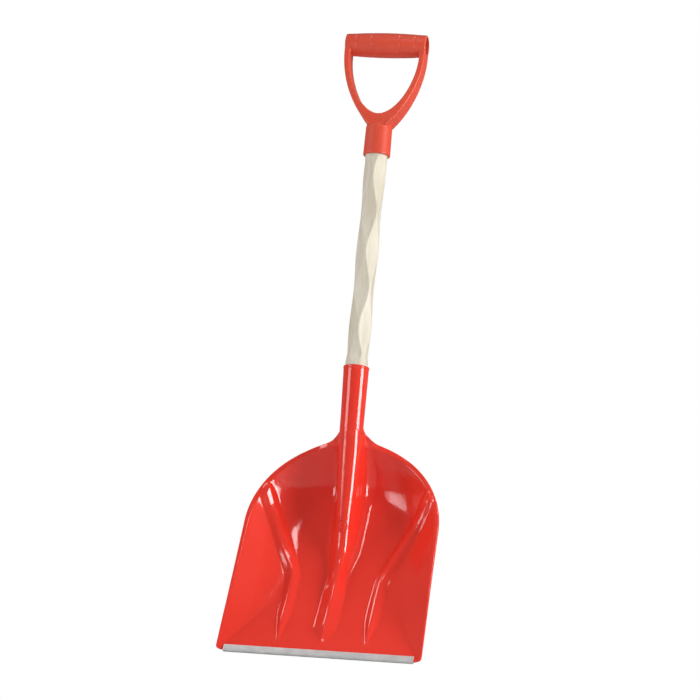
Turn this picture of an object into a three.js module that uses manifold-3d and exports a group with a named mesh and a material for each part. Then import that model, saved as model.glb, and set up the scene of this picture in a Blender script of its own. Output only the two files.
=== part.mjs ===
// A snow shovel: a moulded scoop with a folded metal edge, a hewn wooden shaft and a moulded D-grip.
// Millimetres. +Z runs up the shaft, the scoop opens towards -Y, and X = 0 is the plane of symmetry.
// Inside this file the shaft's axis is at x = y = 0 and the cutting edge is near z = 0.
import * as THREE from 'three';
import { mergeVertices } from 'three/addons/utils/BufferGeometryUtils.js';
import Module from 'manifold-3d';

const { clamp, degToRad, lerp, smoothstep } = THREE.MathUtils;
const { abs, acos, atan2, cos, exp, hypot, max, min, sin, sqrt } = Math;

// Heights along the shaft
const SOCKET_NECK_Z = 390;      // where the scoop's neck leaves the socket tube
const SOCKET_TOP_Z = 490;
const SHAFT_END_Z = 352;        // lower end of the wood, inside the socket
const COLLAR_BOTTOM_Z = 850;
const COLLAR_TOP_Z = 904;
const HAND_GAP_BOTTOM_Z = 918.5;
const BAR_Z = 1043.5;           // axis of the hand bar

// Scoop, laid out in its own rim plane: x across, s up the plane, n behind it
const RIM_TILT = degToRad(20);  // the rim plane leans back from the shaft
const EDGE_Y = -87;             // cutting edge, in front of the shaft's axis
const EDGE_HALF_WIDTH = 165;
const ARCH_RADIUS = 160;        // round top of the rim
const ARCH_S = 238;             // centre of that arch
const NECK_FILLET = 31;
const CORNER_RADIUS = 7;
const SHEET = 3.2;              // wall thickness
const SHEET_START_S = 6;        // the sheet's own edge, inside the folded metal
const SHEET_END_S = 410;
const DEPTH = 45;               // deepest floor behind the rim plane
const DEEPEST_S = 225;
const NECK_SLOPE = 0.3;         // how fast the flange runs forward outside the arch
const NECK_CLIMB = 54;          // how far the rim swings forward to meet the side of the tube
const NECK_CLIMB_REACH = 34;

// Socket tube and shaft
const SOCKET_TOP_R = 20.7;
const SOCKET_NECK_R = 19.4;
const RIB_R = 13.5;             // the tube's half width where it has become a rib
const RIB_S = 252;
const RIB_TIP_S = 30;           // where the rib rises out of the floor
const RIB_LOW_HALF_BASE = 19;
const RIB_LOW_HEIGHT = 9.5;
const RIB_RECEDE = 0.113;       // how fast the rib's crest runs back, going down
const SOCKET_LEAN = 0.08;       // the tube and the wood in it run back going down
const SHAFT_R = 18.5;
const SHAFT_END_R = 12.4;
const SCALLOP_Z = 555;          // middle of the lowest scallop
const SCALLOP_PITCH = 130;
const SCALLOP_DEPTH = 4.2;
const SCALLOP_ROWS = 8;

// Side ribs
const SIDE_RIB_X = 73;
const SIDE_RIB_BEND_S = 170;
const SIDE_RIB_SPLAY = 0.46;
const SIDE_RIB_TOP_S = 306;
const SIDE_RIB_HEIGHT = 7;
const SIDE_RIB_HALF_BASE = 13.5;

// Folded metal edge
const EDGE_LENGTH = 306;
const EDGE_HEIGHT = 11.5;
const EDGE_WALL = 1.3;
const EDGE_START = 4.2;         // distance up the floor from its front line to the metal
const GAP = 0.4;                // clearance between neighbouring pieces

// D-grip
const GRIP_HALF_WIDTH = 68.6;
const HAND_GAP_HALF_WIDTH = 59;
const STRAP_DEPTH = 32;
const STRAP_FOOT_DEPTH = 43;    // the arms are deeper where they leave the collar
const STRAP_TAPER_Z = 985;
const STRAP_FOOT_X = 15;        // where the strap's outline enters the collar
const STRAP_HAUNCH = [34, 917]; // control points of the arms' outer and inner curves
const STRAP_SHOULDER_Z = 965;
const GAP_HAUNCH_X = 30.5;
const GAP_SHOULDER_Z = 978;
const BAR_MID_R = 20.5;
const BAR_END_R = 18.6;
const BAR_BORE_R = 14.6;
const COLLAR_TOP_R = 21.8;
const COLLAR_BOTTOM_R = 22.6;

// Round-head screws through the back of the socket and of the grip's collar
const SCREW_R = 1.9;
const SCREW_HEAD_R = 3.8;
const SCREW_HEAD_HEIGHT = 2.3;
const SCREW_LENGTH = 22;
const SOCKET_SCREW_Z = 452;
const COLLAR_SCREW_Z = 872;

const SHAFT_TOP_Z = COLLAR_TOP_Z - 4;
const RIB_STRETCH = 1 / (cos(RIM_TILT) - SOCKET_LEAN * sin(RIM_TILT));
const FLOOR_LEAN = RIM_TILT + Math.atan(DEPTH * Math.PI / 2 / DEEPEST_S);

const wasm = await Module();
wasm.setup();

// ---------------------------------------------------------------- solids

function toSolid(geometry) {
  const bare = geometry.clone();
  bare.deleteAttribute('normal');
  bare.deleteAttribute('uv');
  const merged = mergeVertices(bare, 1e-4);
  return new wasm.Manifold(new wasm.Mesh({
    numProp: 3,
    vertProperties: new Float32Array(merged.attributes.position.array),
    triVerts: new Uint32Array(merged.index.array),
  }));
}

function toGeometry(solid) {
  const mesh = solid.getMesh();
  const geometry = new THREE.BufferGeometry();
  geometry.setAttribute('position', new THREE.BufferAttribute(mesh.vertProperties, 3));
  geometry.setIndex(new THREE.BufferAttribute(mesh.triVerts, 1));
  return geometry;
}

// A closed body between two grids of points of the same size: rows[i][j] in front, backs[i][j] behind.
function plate(rows, backs) {
  const rowCount = rows.length;
  const columnCount = rows[0].length;
  const points = [...rows.flat(), ...backs.flat()];
  const geometry = new THREE.BufferGeometry().setFromPoints(points);
  const front = (i, j) => i * columnCount + j;
  const back = (i, j) => rowCount * columnCount + front(i, j);
  const index = [];
  const quad = (a, b, c, d) => index.push(a, b, c, a, c, d);
  for (let i = 0; i + 1 < rowCount; i++) {
    for (let j = 0; j + 1 < columnCount; j++) {
      quad(front(i, j), front(i, j + 1), front(i + 1, j + 1), front(i + 1, j));
      quad(back(i, j), back(i + 1, j), back(i + 1, j + 1), back(i, j + 1));
    }
  }
  const last = columnCount - 1;
  for (let i = 0; i + 1 < rowCount; i++) {
    quad(front(i, 0), front(i + 1, 0), back(i + 1, 0), back(i, 0));
    quad(front(i, last), back(i, last), back(i + 1, last), front(i + 1, last));
  }
  const top = rowCount - 1;
  for (let j = 0; j < last; j++) {
    quad(front(0, j), back(0, j), back(0, j + 1), front(0, j + 1));
    quad(front(top, j), front(top, j + 1), back(top, j + 1), back(top, j));
  }
  geometry.setIndex(index);
  return geometry;
}

// A turned body about Z from [radius, z] pairs
function turned(profile, segments) {
  const points = profile.map(([r, z]) => new THREE.Vector2(r, z));
  return new THREE.LatheGeometry(points, segments).rotateX(Math.PI / 2);
}

function material(color, roughness, metalness = 0) {
  return new THREE.MeshStandardMaterial({ color, roughness, metalness });
}

// ---------------------------------------------------------------- scoop surface

function softMin(a, b, reach) {
  const share = clamp(0.5 + 0.5 * (b - a) / reach, 0, 1);
  return lerp(b, a, share) - reach * share * (1 - share);
}

const neckCentreX = SOCKET_NECK_R + NECK_FILLET;
const neckCentreS = ARCH_S + sqrt((ARCH_RADIUS + NECK_FILLET) ** 2 - neckCentreX ** 2);
const neckStartS = ARCH_S + (neckCentreS - ARCH_S) * ARCH_RADIUS / (ARCH_RADIUS + NECK_FILLET);

// Half width of the outline: straight sides, a round arch, and fillets that run into the socket
function sharpHalfWidth(s) {
  if (s > neckStartS) return neckCentreX - sqrt(NECK_FILLET ** 2 - (neckCentreS - s) ** 2);
  if (s > ARCH_S) return sqrt(ARCH_RADIUS ** 2 - (s - ARCH_S) ** 2);
  return lerp(EDGE_HALF_WIDTH, ARCH_RADIUS, s / ARCH_S);
}

function halfWidth(s) {
  const overCorner = max(0, SHEET_START_S + CORNER_RADIUS - s);
  return sharpHalfWidth(s) - CORNER_RADIUS + sqrt(CORNER_RADIUS ** 2 - overCorner ** 2);
}

// Distance that the neck's flange comes forward to meet the side of the tube
function neckClimb(x, s) {
  const away = hypot(max(0, abs(x) - SOCKET_NECK_R), max(0, neckCentreS - s));
  return NECK_CLIMB * exp(-((away / NECK_CLIMB_REACH) ** 1.3));
}

// The climb, which is part of n, goes straight forward; all other depth is square to the rim plane
function scoopPoint(x, s, n) {
  return new THREE.Vector3(
    x,
    EDGE_Y + s * sin(RIM_TILT) + n * cos(RIM_TILT),
    s * cos(RIM_TILT) - (n + neckClimb(x, s)) * sin(RIM_TILT),
  );
}

function inset(x, s) {
  return s < ARCH_S ? sharpHalfWidth(s) - x : ARCH_RADIUS - hypot(x, s - ARCH_S);
}

// Depth of the scoop without its ribs: a flat lip, inclined wings, and a floor that dives from the edge
function bowlDepth(x, s) {
  const floor = DEPTH * sin(min(s / DEEPEST_S, 1) * Math.PI / 2);
  const fromRim = inset(x, s);
  const lip = lerp(1.5, 7.5, smoothstep(s, 10, 260));
  const steepness = lerp(0.6, 1, smoothstep(s, 60, 330));
  const wing = fromRim < 0 ? NECK_SLOPE * fromRim : steepness * max(0, fromRim - lip);
  return softMin(floor, wing, lerp(0.1, 30, smoothstep(s, 17, 240))) - neckClimb(x, s);
}

function sideRibHeight(x, s) {
  const line = SIDE_RIB_X + SIDE_RIB_SPLAY * max(0, s - SIDE_RIB_BEND_S);
  const slant = s > SIDE_RIB_BEND_S ? hypot(1, SIDE_RIB_SPLAY) : 1;
  const away = hypot((x - line) / slant, max(0, s - SIDE_RIB_TOP_S));
  const halfBase = lerp(2, SIDE_RIB_HALF_BASE, smoothstep(s, 18, 90));
  const height = SIDE_RIB_HEIGHT * smoothstep(s, 20, 75) * smoothstep(inset(x, s), 3, 16);
  return height * (1 - smoothstep(away, 0.1 * halfBase, halfBase));
}

// The middle rib carries the socket tube on down the scoop, where it sinks to a low wedge
function middleRib(s) {
  const upRib = (s - RIB_S) / (neckStartS - RIB_S);
  const tubeR = s > neckStartS ? SOCKET_NECK_R : lerp(RIB_R, SOCKET_NECK_R, upRib);
  const upperS = max(s, neckStartS);
  const upperZ = upperS * cos(RIM_TILT) - neckClimb(0, upperS) * sin(RIM_TILT);
  const lean = SOCKET_LEAN * (SOCKET_TOP_Z - upperZ);
  const recede = RIB_RECEDE * max(0, neckStartS - s);
  const lowHalfBase = RIB_LOW_HALF_BASE * smoothstep(s, RIB_TIP_S - 6, RIB_TIP_S + 44);
  const fillet = lerp(5, 20, smoothstep(s, 100, 230)) - 6 * smoothstep(s, 360, 400);
  return {
    r: lerp(4, tubeR, smoothstep(s, 110, 200)),
    fillet,
    crest: (lean + recede - SOCKET_NECK_R - EDGE_Y - s * sin(RIM_TILT)) * RIB_STRETCH,
    lowHalfBase,
    lowHeight: RIB_LOW_HEIGHT * smoothstep(s, RIB_TIP_S, RIB_TIP_S + 55),
  };
}

// Where the lip or corner lug begins, for the row of points at s
function lipX(s, footX) {
  const edgeX = sharpHalfWidth(s);
  const width = lerp(EDGE_HALF_WIDTH - EDGE_LENGTH / 2 - GAP, 7, smoothstep(s, 20, 90));
  return max(lerp(footX, edgeX, 0.8), edgeX - width * ARCH_RADIUS / clamp(edgeX, 60, ARCH_RADIUS));
}

// A rib's half profile by distance along it: round crest, straight flank, round foot, as [x, drop]
function ribPoint(distance, r, fillet, angle, straight) {
  if (distance < r * angle) return [r * sin(distance / r), r * (1 - cos(distance / r))];
  const down = min(straight, distance - r * angle);
  const turn = max(0, distance - r * angle - straight) / fillet;
  const x = r * sin(angle) + down * cos(angle) + fillet * (sin(angle) - sin(angle - turn));
  const drop = r * (1 - cos(angle)) + down * sin(angle) + fillet * (cos(angle - turn) - cos(angle));
  return [x, drop];
}

// Half a cross-section of the scoop at s, from the middle outwards, as [x, n] pairs
const RIB_STEPS = 8;
const WING_STEPS = 10;
function halfSection(s) {
  const rib = middleRib(s);
  const edgeX = halfWidth(s);
  const filletRoom = min(rib.fillet, max(1, edgeX - rib.r - 2));
  const halfBase = max(0.6, lerp(rib.lowHalfBase, rib.r + filletRoom, smoothstep(s, 120, 235)));
  const footDepth = bowlDepth(halfBase, s);
  const height = max(0.2, -softMin(-(footDepth - rib.crest) / RIB_STRETCH, -rib.lowHeight, 6));
  // Both rounds shrink where the rib is too slight to hold them; angle is then the flank's slope
  const rounds = min(rib.r + filletRoom, 0.45 * (halfBase ** 2 + height ** 2) / height);
  const r = rounds * rib.r / (rib.r + filletRoom);
  const fillet = rounds - r;
  const angle = atan2(halfBase, rounds - height) - acos(min(1, rounds / hypot(halfBase, rounds - height)));
  const straight = max(0, (height - rounds * (1 - cos(angle))) / sin(angle));
  const length = rounds * angle + straight;
  const section = [];
  for (let i = 0; i <= RIB_STEPS; i++) {
    const [x, drop] = ribPoint(length * i / RIB_STEPS, r, fillet, angle, straight);
    section.push([x, footDepth + RIB_STRETCH * (drop - height)]);
  }
  const footX = section[RIB_STEPS][0];
  const innerX = lipX(s, footX);
  for (let i = 1; i <= WING_STEPS; i++) {
    const x = i < WING_STEPS ? lerp(footX, innerX, i / (WING_STEPS - 1)) : edgeX;
    section.push([x, bowlDepth(x, s) - sideRibHeight(x, s)]);
  }
  return section;
}

function scoopRow(s) {
  const half = halfSection(s);
  const right = half.map(([x, n]) => scoopPoint(x, s, n));
  const left = half.slice(1).map(([x, n]) => scoopPoint(-x, s, n)).reverse();
  return [...left, ...right];
}

// The same grid moved back by the wall thickness, square to the surface
function offsetRows(rows, distance) {
  const span = (list, k) => [list[max(0, k - 1)], list[min(list.length - 1, k + 1)]];
  return rows.map((row, i) => row.map((point, j) => {
    const [left, right] = span(row, j);
    const [below, above] = span(rows.map((r) => r[j]), i);
    const across = new THREE.Vector3().subVectors(right, left);
    const up = new THREE.Vector3().subVectors(above, below);
    return across.cross(up).normalize().multiplyScalar(-distance).add(point);
  }));
}

// The socket and the wood inside it lean back below the tube's mouth
function leaned(geometry) {
  const position = geometry.attributes.position;
  for (let i = 0; i < position.count; i++) {
    const back = SOCKET_LEAN * max(0, SOCKET_TOP_Z - position.getZ(i));
    position.setY(i, position.getY(i) + back);
  }
  return geometry;
}

const SCOOP_ROWS = 38;
function scoop() {
  const rows = [];
  for (let i = 0; i <= SCOOP_ROWS; i++) {
    rows.push(scoopRow(lerp(SHEET_START_S, SHEET_END_S, i / SCOOP_ROWS)));
  }
  const sheet = toSolid(plate(rows, offsetRows(rows, SHEET)));
  const tube = toSolid(leaned(turned([
    [0, SHAFT_END_Z - 6], [15.5, SHAFT_END_Z - 6], [16.8, SHAFT_END_Z],
    [SOCKET_NECK_R - 0.7, SOCKET_NECK_Z], [SOCKET_NECK_R + 0.3, SOCKET_NECK_Z + 5],
    [SOCKET_TOP_R, SOCKET_TOP_Z - 5], [SOCKET_TOP_R + 0.5, SOCKET_TOP_Z - 4],
    [SOCKET_TOP_R + 0.5, SOCKET_TOP_Z], [0, SOCKET_TOP_Z],
  ], 30)));
  const bore = toSolid(leaned(turned([
    [0, SHAFT_END_Z - 2], [SHAFT_END_R + GAP, SHAFT_END_Z - 2], [SHAFT_R + GAP, SOCKET_TOP_Z - 12],
    [SHAFT_R + GAP, SOCKET_TOP_Z], [SHAFT_R + GAP, SOCKET_TOP_Z + 5], [0, SOCKET_TOP_Z + 5],
  ], 32)));
  const [{ headY, z }] = screwSeats();
  return toGeometry(sheet.add(tube).subtract(bore).subtract(toSolid(screw(GAP, headY, z))));
}

// ---------------------------------------------------------------- folded metal edge

// A channel that wraps the scoop's edge. Its section's x runs square to the sheet, y up the sheet.
function edgeStrip() {
  const inner = SHEET / 2 + GAP;
  const outer = inner + EDGE_WALL;
  const section = new THREE.Shape([
    [-outer, 0], [outer, 0], [outer, EDGE_HEIGHT], [inner, EDGE_HEIGHT],
    [inner, EDGE_WALL], [-inner, EDGE_WALL], [-inner, EDGE_HEIGHT], [-outer, EDGE_HEIGHT],
  ].map(([across, along]) => new THREE.Vector2(across + SHEET / 2, along)));
  return new THREE.ExtrudeGeometry(section, { depth: EDGE_LENGTH, bevelEnabled: false });
}

function placeEdgeStrip(mesh) {
  const along = new THREE.Vector3(0, sin(FLOOR_LEAN), cos(FLOOR_LEAN));
  const square = new THREE.Vector3(0, cos(FLOOR_LEAN), -sin(FLOOR_LEAN));
  mesh.setRotationFromMatrix(new THREE.Matrix4().makeBasis(square, along, new THREE.Vector3(1, 0, 0)));
  mesh.position.set(-EDGE_LENGTH / 2, EDGE_Y, 0).addScaledVector(along, EDGE_START);
}

// ---------------------------------------------------------------- fixing screws

// A round-head wood screw that lies along Y with its head towards +Y; grow makes the hole for it
function screw(grow, headY, z) {
  const profile = [
    [0, headY - SCREW_LENGTH - grow], [SCREW_R + grow, headY - SCREW_LENGTH + 3 - grow],
    [SCREW_R + grow, headY - grow], [SCREW_HEAD_R + grow, headY - grow],
    [SCREW_HEAD_R + grow, headY + 0.9], [SCREW_HEAD_R * 0.6, headY + SCREW_HEAD_HEIGHT + grow],
    [0, headY + SCREW_HEAD_HEIGHT + grow],
  ];
  const points = profile.map(([r, y]) => new THREE.Vector2(r, y));
  return new THREE.LatheGeometry(points, 16).translate(0, 0, z);
}

// ---------------------------------------------------------------- shaft

// Rows of hewn flats all round, neighbours half a pitch apart
function scallopedRadius(angle, z) {
  const fade = smoothstep(z, SOCKET_TOP_Z + 2, SOCKET_TOP_Z + 24)
    * (1 - smoothstep(z, COLLAR_BOTTOM_Z - 14, COLLAR_BOTTOM_Z));
  let radius = SHAFT_R;
  for (let row = 0; row < SCALLOP_ROWS; row++) {
    const middle = SCALLOP_Z + (row % 2 === 0 ? SCALLOP_PITCH / 2 : 0);
    const hollow = 0.5 + 0.5 * cos(2 * Math.PI * (z - middle) / SCALLOP_PITCH);
    const facing = cos(angle + Math.PI / 2 - 2 * Math.PI * row / SCALLOP_ROWS);
    if (facing > 0) radius = min(radius, (SHAFT_R - SCALLOP_DEPTH * fade * hollow) / facing);
  }
  return radius;
}

const SHAFT_ROWS = 30;
function shaft() {
  const profile = [
    [0, SHAFT_END_Z], [SHAFT_END_R, SHAFT_END_Z], [SHAFT_R, SOCKET_TOP_Z - 10], [SHAFT_R, SOCKET_TOP_Z],
  ];
  for (let i = 0; i <= SHAFT_ROWS; i++) {
    profile.push([SHAFT_R, lerp(SOCKET_TOP_Z + 2, COLLAR_BOTTOM_Z - 2, i / SHAFT_ROWS)]);
  }
  profile.push([SHAFT_R, SHAFT_TOP_Z - 2], [SHAFT_R - 2, SHAFT_TOP_Z], [0, SHAFT_TOP_Z]);
  const geometry = leaned(turned(profile, 24));
  const position = geometry.attributes.position;
  for (let i = 0; i < position.count; i++) {
    const [x, y, z] = [position.getX(i), position.getY(i), position.getZ(i)];
    if (z <= SOCKET_TOP_Z || z > COLLAR_BOTTOM_Z) continue;
    const scale = scallopedRadius(Math.atan2(y, x), z) / SHAFT_R;
    position.setXYZ(i, x * scale, y * scale, z);
  }
  const holes = screwSeats().map(({ headY, z }) => toSolid(screw(GAP, headY, z)));
  return toGeometry(holes.reduce((wood, hole) => wood.subtract(hole), toSolid(geometry)));
}

// ---------------------------------------------------------------- D-grip

function strapOutline() {
  const [haunchX, haunchZ] = STRAP_HAUNCH;
  const armTop = BAR_Z - 15;
  const outline = new THREE.Shape();
  outline.moveTo(STRAP_FOOT_X, COLLAR_TOP_Z - 5);
  outline.bezierCurveTo(haunchX, haunchZ, GRIP_HALF_WIDTH, STRAP_SHOULDER_Z, GRIP_HALF_WIDTH, armTop);
  outline.lineTo(GRIP_HALF_WIDTH, BAR_Z);
  outline.lineTo(-GRIP_HALF_WIDTH, BAR_Z);
  outline.lineTo(-GRIP_HALF_WIDTH, armTop);
  outline.bezierCurveTo(
    -GRIP_HALF_WIDTH, STRAP_SHOULDER_Z, -haunchX, haunchZ, -STRAP_FOOT_X, COLLAR_TOP_Z - 5,
  );
  const side = HAND_GAP_HALF_WIDTH;
  const gapTop = BAR_Z - 20;
  const gap = new THREE.Path();
  gap.moveTo(side, BAR_Z - 8);
  gap.lineTo(side, gapTop);
  gap.bezierCurveTo(side, GAP_SHOULDER_Z, GAP_HAUNCH_X, HAND_GAP_BOTTOM_Z, 0, HAND_GAP_BOTTOM_Z);
  gap.bezierCurveTo(-GAP_HAUNCH_X, HAND_GAP_BOTTOM_Z, -side, GAP_SHOULDER_Z, -side, gapTop);
  gap.lineTo(-side, BAR_Z - 8);
  outline.holes.push(gap);
  return outline;
}

// The strap seen from its side: deep at the collar, tapering to the hand bar
function strapSide() {
  const [low, high] = [STRAP_FOOT_DEPTH / 2, STRAP_DEPTH / 2];
  return new THREE.Shape([
    [-low, COLLAR_TOP_Z - 9], [low, COLLAR_TOP_Z - 9], [low, COLLAR_TOP_Z], [high, STRAP_TAPER_Z],
    [high, BAR_Z + 9], [-high, BAR_Z + 9], [-high, STRAP_TAPER_Z], [-low, COLLAR_TOP_Z],
  ].map(([y, z]) => new THREE.Vector2(y, z)));
}

function strap() {
  const front = new THREE.ExtrudeGeometry(strapOutline(), {
    depth: STRAP_FOOT_DEPTH + 2, bevelEnabled: false, curveSegments: 14,
  }).rotateX(Math.PI / 2).translate(0, STRAP_FOOT_DEPTH / 2 + 1, 0);
  const side = new THREE.ExtrudeGeometry(strapSide(), { depth: 4 * GRIP_HALF_WIDTH, bevelEnabled: false })
    .rotateX(Math.PI / 2).rotateZ(Math.PI / 2).translate(-2 * GRIP_HALF_WIDTH, 0, 0);
  return toSolid(front).intersect(toSolid(side));
}

// A turned body about the hand bar's axis from [radius, x] pairs
function turnedOnBar(profile, segments) {
  const points = profile.map(([r, x]) => new THREE.Vector2(r, x));
  return new THREE.LatheGeometry(points, segments).rotateZ(-Math.PI / 2).translate(0, 0, BAR_Z);
}

const BAR_STEPS = 8;
function grip() {
  const bar = [[0, -GRIP_HALF_WIDTH], [BAR_END_R, -GRIP_HALF_WIDTH]];
  for (let i = 0; i <= BAR_STEPS; i++) {
    const t = lerp(-1, 1, i / BAR_STEPS);
    bar.push([lerp(BAR_MID_R, BAR_END_R, t * t), t * HAND_GAP_HALF_WIDTH]);
  }
  bar.push([BAR_END_R, GRIP_HALF_WIDTH], [0, GRIP_HALF_WIDTH]);
  const bore = [
    [0, -GRIP_HALF_WIDTH - 1], [BAR_BORE_R, -GRIP_HALF_WIDTH - 1],
    [BAR_BORE_R, GRIP_HALF_WIDTH + 1], [0, GRIP_HALF_WIDTH + 1],
  ];
  const collar = turned([
    [0, COLLAR_BOTTOM_Z], [COLLAR_BOTTOM_R + 0.6, COLLAR_BOTTOM_Z],
    [COLLAR_BOTTOM_R + 0.6, COLLAR_BOTTOM_Z + 3], [COLLAR_BOTTOM_R, COLLAR_BOTTOM_Z + 4],
    [COLLAR_TOP_R, COLLAR_TOP_Z - 4], [COLLAR_TOP_R - 5, COLLAR_TOP_Z + 3], [0, COLLAR_TOP_Z + 6],
  ], 32);
  const seat = turned([
    [0, COLLAR_BOTTOM_Z - 5], [SHAFT_R + GAP, COLLAR_BOTTOM_Z - 5],
    [SHAFT_R + GAP, SHAFT_TOP_Z + GAP], [0, SHAFT_TOP_Z + GAP],
  ], 24);
  const screwHole = screw(GAP, COLLAR_BOTTOM_R + GAP, COLLAR_SCREW_Z);
  return toGeometry(strap().add(toSolid(turnedOnBar(bar, 28))).add(toSolid(collar))
    .subtract(toSolid(turnedOnBar(bore, 24))).subtract(toSolid(seat)).subtract(toSolid(screwHole)));
}

// ---------------------------------------------------------------- assembly

function screwSeats() {
  return [
    { headY: SOCKET_TOP_R + GAP + SOCKET_LEAN * (SOCKET_TOP_Z - SOCKET_SCREW_Z), z: SOCKET_SCREW_Z },
    { headY: COLLAR_BOTTOM_R + GAP, z: COLLAR_SCREW_Z },
  ];
}

function part(name, geometry, look) {
  const mesh = new THREE.Mesh(geometry, look);
  mesh.name = name;
  return mesh;
}

const glossyRed = material(0xe02a1c, 0.12);
const mattRed = material(0xe24428, 0.5);
const paleWood = material(0xe2d3b4, 0.6);
const aluminium = material(0xb8babb, 0.35, 1);
const zincSteel = material(0xa9abae, 0.4, 1);

const shovel = new THREE.Group();
const strip = part('edge_strip', edgeStrip(), aluminium);
placeEdgeStrip(strip);
const [socketSeat, collarSeat] = screwSeats();
shovel.add(
  part('scoop', scoop(), glossyRed),
  strip,
  part('shaft', shaft(), paleWood),
  part('grip', grip(), mattRed),
  part('socket_screw', screw(0, socketSeat.headY, socketSeat.z), zincSteel),
  part('collar_screw', screw(0, collarSeat.headY, collarSeat.z), zincSteel),
);

// The origin is the middle of the shovel's footprint, at its lowest point
const extent = new THREE.Box3().setFromObject(shovel);
shovel.position.set(0, -(extent.min.y + extent.max.y) / 2, -extent.min.z);

export default shovel;
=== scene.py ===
import math

import bmesh
import bpy
import numpy as np
from mathutils import Matrix, Vector


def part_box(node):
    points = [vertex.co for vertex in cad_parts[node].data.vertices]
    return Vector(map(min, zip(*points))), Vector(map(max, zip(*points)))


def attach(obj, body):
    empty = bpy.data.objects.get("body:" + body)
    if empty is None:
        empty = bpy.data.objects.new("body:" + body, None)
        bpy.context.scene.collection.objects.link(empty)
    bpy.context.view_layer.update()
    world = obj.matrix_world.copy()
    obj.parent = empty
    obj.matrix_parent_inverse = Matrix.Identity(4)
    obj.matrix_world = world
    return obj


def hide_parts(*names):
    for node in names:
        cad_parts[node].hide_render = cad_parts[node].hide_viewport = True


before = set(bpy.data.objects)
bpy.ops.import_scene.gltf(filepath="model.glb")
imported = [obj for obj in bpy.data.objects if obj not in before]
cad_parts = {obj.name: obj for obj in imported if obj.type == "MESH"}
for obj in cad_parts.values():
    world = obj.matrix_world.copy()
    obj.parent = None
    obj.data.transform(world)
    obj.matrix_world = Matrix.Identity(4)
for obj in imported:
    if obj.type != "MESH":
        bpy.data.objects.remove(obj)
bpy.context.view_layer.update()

# Everything below is in millimetres with the shaft's axis at x = y = 0 until to_world() places it.
SHAFT_END_Z = 352
SHAFT_R = 18.5
SHAFT_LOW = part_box("shaft")[0]
SHIFT = Vector((0, SHAFT_LOW[1] + SHAFT_R / 1000, SHAFT_LOW[2] - SHAFT_END_Z / 1000))

SOCKET_TOP_Z = 490
COLLAR_BOTTOM_Z = 850
COLLAR_TOP_Z = 904
BAR_Z = 1043.5


# ---------------------------------------------------------------- helpers

def clamp(value, low, high):
    return np.minimum(np.maximum(value, low), high)


def lerp(a, b, t):
    return a + (b - a) * t


def smooth(value, low, high):
    t = clamp((value - low) / (high - low), 0, 1)
    return t * t * (3 - 2 * t)


def soft_min(a, b, reach):
    share = clamp(0.5 + 0.5 * (b - a) / reach, 0, 1)
    return lerp(b, a, share) - reach * share * (1 - share)


def soft_max(a, b, reach):
    return -soft_min(-a, -b, reach)


def unit(vectors):
    return vectors / np.maximum(np.linalg.norm(vectors, axis=-1, keepdims=True), 1e-9)


def to_world(points):
    return np.asarray(points, dtype=float) / 1000 + np.array(SHIFT)


def linked(name, data):
    made = bpy.data.objects.new(name, data)
    bpy.context.scene.collection.objects.link(made)
    return made


def mesh_object(name, points, faces, smooth_angle=None):
    """A mesh object from millimetre points, smooth except at edges sharper than smooth_angle."""
    mesh = bpy.data.meshes.new(name)
    mesh.from_pydata(to_world(points).tolist(), [], faces)
    mesh.validate()
    piece = linked(name, mesh)
    finish_mesh(piece, smooth_angle)
    return piece


def finish_mesh(piece, smooth_angle):
    bm = bmesh.new()
    bm.from_mesh(piece.data)
    bmesh.ops.remove_doubles(bm, verts=bm.verts, dist=2e-6)
    bmesh.ops.recalc_face_normals(bm, faces=bm.faces)
    for face in bm.faces:
        face.smooth = True
    if smooth_angle is not None:
        limit = math.radians(smooth_angle)
        for edge in bm.edges:
            edge.smooth = not (len(edge.link_faces) == 2 and edge.calc_face_angle(0) > limit)
    bm.to_mesh(piece.data)
    bm.free()


def ring_faces(rings, count, ends="capped"):
    """Quads between stacked rings of count points, with the ends capped, open, or joined together."""
    faces = []
    for i in range(rings if ends == "joined" else rings - 1):
        low, high = i * count, (i + 1) % rings * count
        for j in range(count):
            k = (j + 1) % count
            faces.append((low + j, low + k, high + k, high + j))
    if ends == "capped":
        faces.append(tuple(reversed(range(count))))
        faces.append(tuple(range((rings - 1) * count, rings * count)))
    return faces


def turned(name, profile, segments, axis="Z", smooth_angle=35):
    """A body turned from [radius, along] pairs."""
    angle = np.arange(segments) * 2 * math.pi / segments
    rings = []
    for radius, along in profile:
        across, up = radius * np.cos(angle), radius * np.sin(angle)
        level = np.full(segments, float(along))
        turns = {"X": (level, across, up), "Y": (up, level, across), "Z": (across, up, level)}
        rings.append(np.stack(turns[axis], 1))
    return mesh_object(name, np.concatenate(rings), ring_faces(len(rings), segments), smooth_angle)


def rounded(corners, radius, steps=5):
    """A closed polygon's corners rounded, each with its own radius or a shared one."""
    out = []
    count = len(corners)
    for i, corner in enumerate(corners):
        before, here, after = (np.array(corners[k % count][:2], float) for k in (i - 1, i, i + 1))
        r = corner[2] if len(corner) > 2 else radius
        a, b = before - here, after - here
        la, lb = np.linalg.norm(a), np.linalg.norm(b)
        a, b = a / la, b / lb
        half = math.acos(float(clamp(np.dot(a, b), -1, 1))) / 2
        reach = min(r / math.tan(half), la * 0.49, lb * 0.49)
        for k in range(steps + 1):
            t = k / steps
            out.append(tuple(here + a * reach * (1 - t) ** 2 + b * reach * t ** 2))
    return out


def replace(node, *pieces):
    for piece in pieces:
        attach(piece, "root")
        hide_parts(node)


# ---------------------------------------------------------------- scoop surface
# Laid out in the plane of its rim: x across, s up the plane from the edge, n behind it.

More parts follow.
